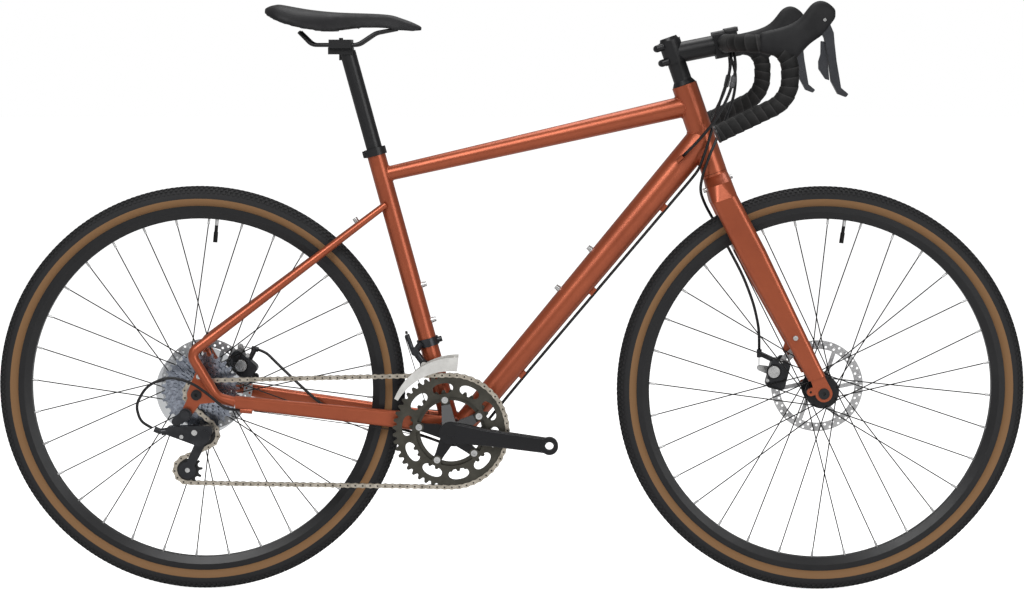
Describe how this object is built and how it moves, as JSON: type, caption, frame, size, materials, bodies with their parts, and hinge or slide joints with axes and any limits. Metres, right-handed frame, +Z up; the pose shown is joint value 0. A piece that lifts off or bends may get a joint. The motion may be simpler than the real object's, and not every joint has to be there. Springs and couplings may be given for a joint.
{
  "type": "road bicycle",
  "caption": "Drop-bar road bicycle with disc brakes, wide tan-walled tyres, sloping frame, twin chainrings and two derailleurs",
  "frame": {"origin": "on the ground midway between the two tyre contacts, in the middle plane", "axes": "+X forward, +Y to the rider's left, +Z up; the chain is on the -Y side"},
  "size_m": [1.7688, 0.4864, 1.0134],
  "materials": {
    "frame": "satin metallic copper-orange paint",
    "fork_paint": "satin metallic copper-orange paint",
    "black_alloy": "satin black anodised aluminium",
    "bolts": "plain steel bolts",
    "tyre": "black tread with tan side walls",
    "rim": "satin black rim",
    "hub": "gloss black hub",
    "spokes": "black spokes with plated nipples",
    "rotor": "brushed steel rotor",
    "protector": "clear plastic disc",
    "chain": "pale plated steel",
    "cassette": "plated steel cogs",
    "ring": "dark grey anodised rings",
    "crank": "gloss black cranks",
    "mech": "dark grey derailleur parts",
    "front_cage": "plated steel cage",
    "pulley": "black plastic pulleys",
    "housing": "black sheathed housing",
    "tape": "black perforated bar tape",
    "hood": "matte black rubber hood",
    "lever": "dark grey lever blades",
    "caliper": "black and silver calipers",
    "rails": "dark steel rails",
    "saddle": "matte black cover"
  },
  "bodies": {
    "frame": {"head_tube": "frame", "top_tube": "frame", "down_tube": "frame", "seat_tube": "frame", "bottom_bracket_shell": "frame", "chainstays": "frame", "seatstays": "frame", "dropouts": "frame", "seat_clamp": "black_alloy", "frame_bearings": "black_alloy", "frame_bolts": "bolts", "rear_axle": "black_alloy", "chain": "chain", "front_derailleur_clamp": "mech", "rear_derailleur_mount": "mech", "rear_brake_caliper": "caliper", "frame_housings": "housing", "shift_loop": "housing"},
    "steering": {"fork_crown": "fork_paint", "fork_blades": "fork_paint", "front_axle": "black_alloy", "fork_bolts": "bolts", "headset_spacers": "black_alloy", "stem": "black_alloy", "stem_faceplate": "black_alloy", "handlebar": "black_alloy", "bar_tape": "tape", "hoods": "hood", "front_brake_caliper": "caliper", "control_housings": "housing"},
    "front_wheel": {"front_tyre": "tyre", "front_rim": "rim", "front_hub": "hub", "front_spokes": "spokes", "front_rotor": "rotor"},
    "rear_wheel": {"rear_tyre": "tyre", "rear_rim": "rim", "rear_hub": "hub", "rear_spokes": "spokes", "rear_rotor": "rotor", "spoke_protector": "protector"},
    "cassette_driver": {"cassette": "cassette"},
    "crankset": {"drive_crank": "crank", "left_crank": "crank", "chainrings": "ring", "chainring_bolts": "bolts"},
    "front_mech": {"front_derailleur_cage": "front_cage"},
    "rear_mech": {"rear_derailleur_body": "mech"},
    "rear_mech_cage": {"rear_derailleur_cage": "mech"},
    "upper_pulley": {"guide_pulley": "pulley"},
    "lower_pulley": {"tension_pulley": "pulley"},
    "right_brake_lever": {"brake_lever_right": "lever"},
    "left_brake_lever": {"brake_lever_left": "lever"},
    "right_shift_paddle": {"shift_paddle_right": "lever"},
    "left_shift_paddle": {"shift_paddle_left": "lever"},
    "front_brake_arm": {"front_caliper_arm": "caliper"},
    "rear_brake_arm": {"rear_caliper_arm": "caliper"},
    "seat": {"seatpost": "black_alloy", "saddle_rails": "rails", "saddle": "saddle"}
  },
  "joints": [
    {"name": "steer", "type": "hinge", "parent": "frame", "child": "steering", "pos_m": [0.34803, 0, 0.72535], "axis": [-0.3322, 0, 0.9432], "range_deg": [-60, 60], "deforming": ["control_housings"]},
    {"name": "front_wheel_spin", "type": "hinge", "parent": "steering", "child": "front_wheel", "pos_m": [0.5335, 0, 0.351], "axis": [0, 1, 0], "continuous": true},
    {"name": "rear_wheel_spin", "type": "hinge", "parent": "frame", "child": "rear_wheel", "pos_m": [-0.5335, 0, 0.351], "axis": [0, 1, 0], "continuous": true},
    {"name": "crank_spin", "type": "hinge", "parent": "frame", "child": "crankset", "pos_m": [-0.10268, 0, 0.284], "axis": [0, 1, 0], "continuous": true, "deforming": ["chain"]},
    {"name": "cassette_spin", "type": "hinge", "parent": "frame", "child": "cassette_driver", "pos_m": [-0.5335, 0, 0.351], "axis": [0, 1, 0], "continuous": true, "deforming": ["chain"]},
    {"name": "front_mech_shift", "type": "slide", "parent": "frame", "child": "front_mech", "axis": [0, 1, 0], "range_m": [0, 0.006], "deforming": ["chain"]},
    {"name": "rear_mech_shift", "type": "slide", "parent": "frame", "child": "rear_mech", "axis": [0, 0.817, -0.5767], "range_m": [0, 0.0415], "deforming": ["chain", "shift_loop"]},
    {"name": "cage_swing", "type": "hinge", "parent": "rear_mech", "child": "rear_mech_cage", "pos_m": [-0.522, -0.0625, 0.281], "axis": [0, 1, 0], "range_deg": [-75, 12], "deforming": ["chain"]},
    {"name": "guide_pulley_spin", "type": "hinge", "parent": "rear_mech_cage", "child": "upper_pulley", "pos_m": [-0.522, -0.0625, 0.281], "axis": [0, 1, 0], "continuous": true, "deforming": ["chain"]},
    {"name": "tension_pulley_spin", "type": "hinge", "parent": "rear_mech_cage", "child": "lower_pulley", "pos_m": [-0.55181, -0.0625, 0.21988], "axis": [0, 1, 0], "continuous": true, "deforming": ["chain"]},
    {"name": "right_brake_pull", "type": "hinge", "parent": "steering", "child": "right_brake_lever", "pos_m": [0.49874, -0.218, 0.96458], "axis": [0, 1, 0], "range_deg": [0, 26], "stiffness_Nm_per_rad": 0.6, "springref_deg": -11.46},
    {"name": "left_brake_pull", "type": "hinge", "parent": "steering", "child": "left_brake_lever", "pos_m": [0.49874, 0.218, 0.96458], "axis": [0, 1, 0], "range_deg": [0, 26], "stiffness_Nm_per_rad": 0.6, "springref_deg": -11.46},
    {"name": "right_shift_click", "type": "hinge", "parent": "right_brake_lever", "child": "right_shift_paddle", "pos_m": [0.49874, -0.2205, 0.94458], "axis": [-0.1521, 0, 0.9884], "range_deg": [0, 16], "stiffness_Nm_per_rad": 0.3, "springref_deg": -11.46},
    {"name": "left_shift_click", "type": "hinge", "parent": "left_brake_lever", "child": "left_shift_paddle", "pos_m": [0.49874, 0.2205, 0.94458], "axis": [0.1521, 0, -0.9884], "range_deg": [0, 16], "stiffness_Nm_per_rad": 0.3, "springref_deg": -11.46},
    {"name": "front_brake_arm_turn", "type": "hinge", "parent": "steering", "child": "front_brake_arm", "pos_m": [0.4645, 0.0395, 0.372], "axis": [0, 1, 0], "range_deg": [0, 18], "deforming": ["control_housings"]},
    {"name": "rear_brake_arm_turn", "type": "hinge", "parent": "frame", "child": "rear_brake_arm", "pos_m": [-0.4715, 0.055, 0.385], "axis": [0, 1, 0], "range_deg": [0, 18], "deforming": ["frame_housings"]},
    {"name": "saddle_height", "type": "slide", "parent": "frame", "child": "seat", "axis": [-0.2622, 0, 0.965], "range_m": [-0.06, 0.07]}
  ],
  "couplings": [
    {"joint": "cassette_spin", "follows": "crank_spin", "ratio": 4.3636},
    {"joint": "guide_pulley_spin", "follows": "crank_spin", "ratio": -4.3636},
    {"joint": "tension_pulley_spin", "follows": "crank_spin", "ratio": 4.3636},
    {"joint": "front_brake_arm_turn", "follows": "left_brake_pull", "ratio": 0.6},
    {"joint": "rear_brake_arm_turn", "follows": "right_brake_pull", "ratio": 0.6}
  ]
}
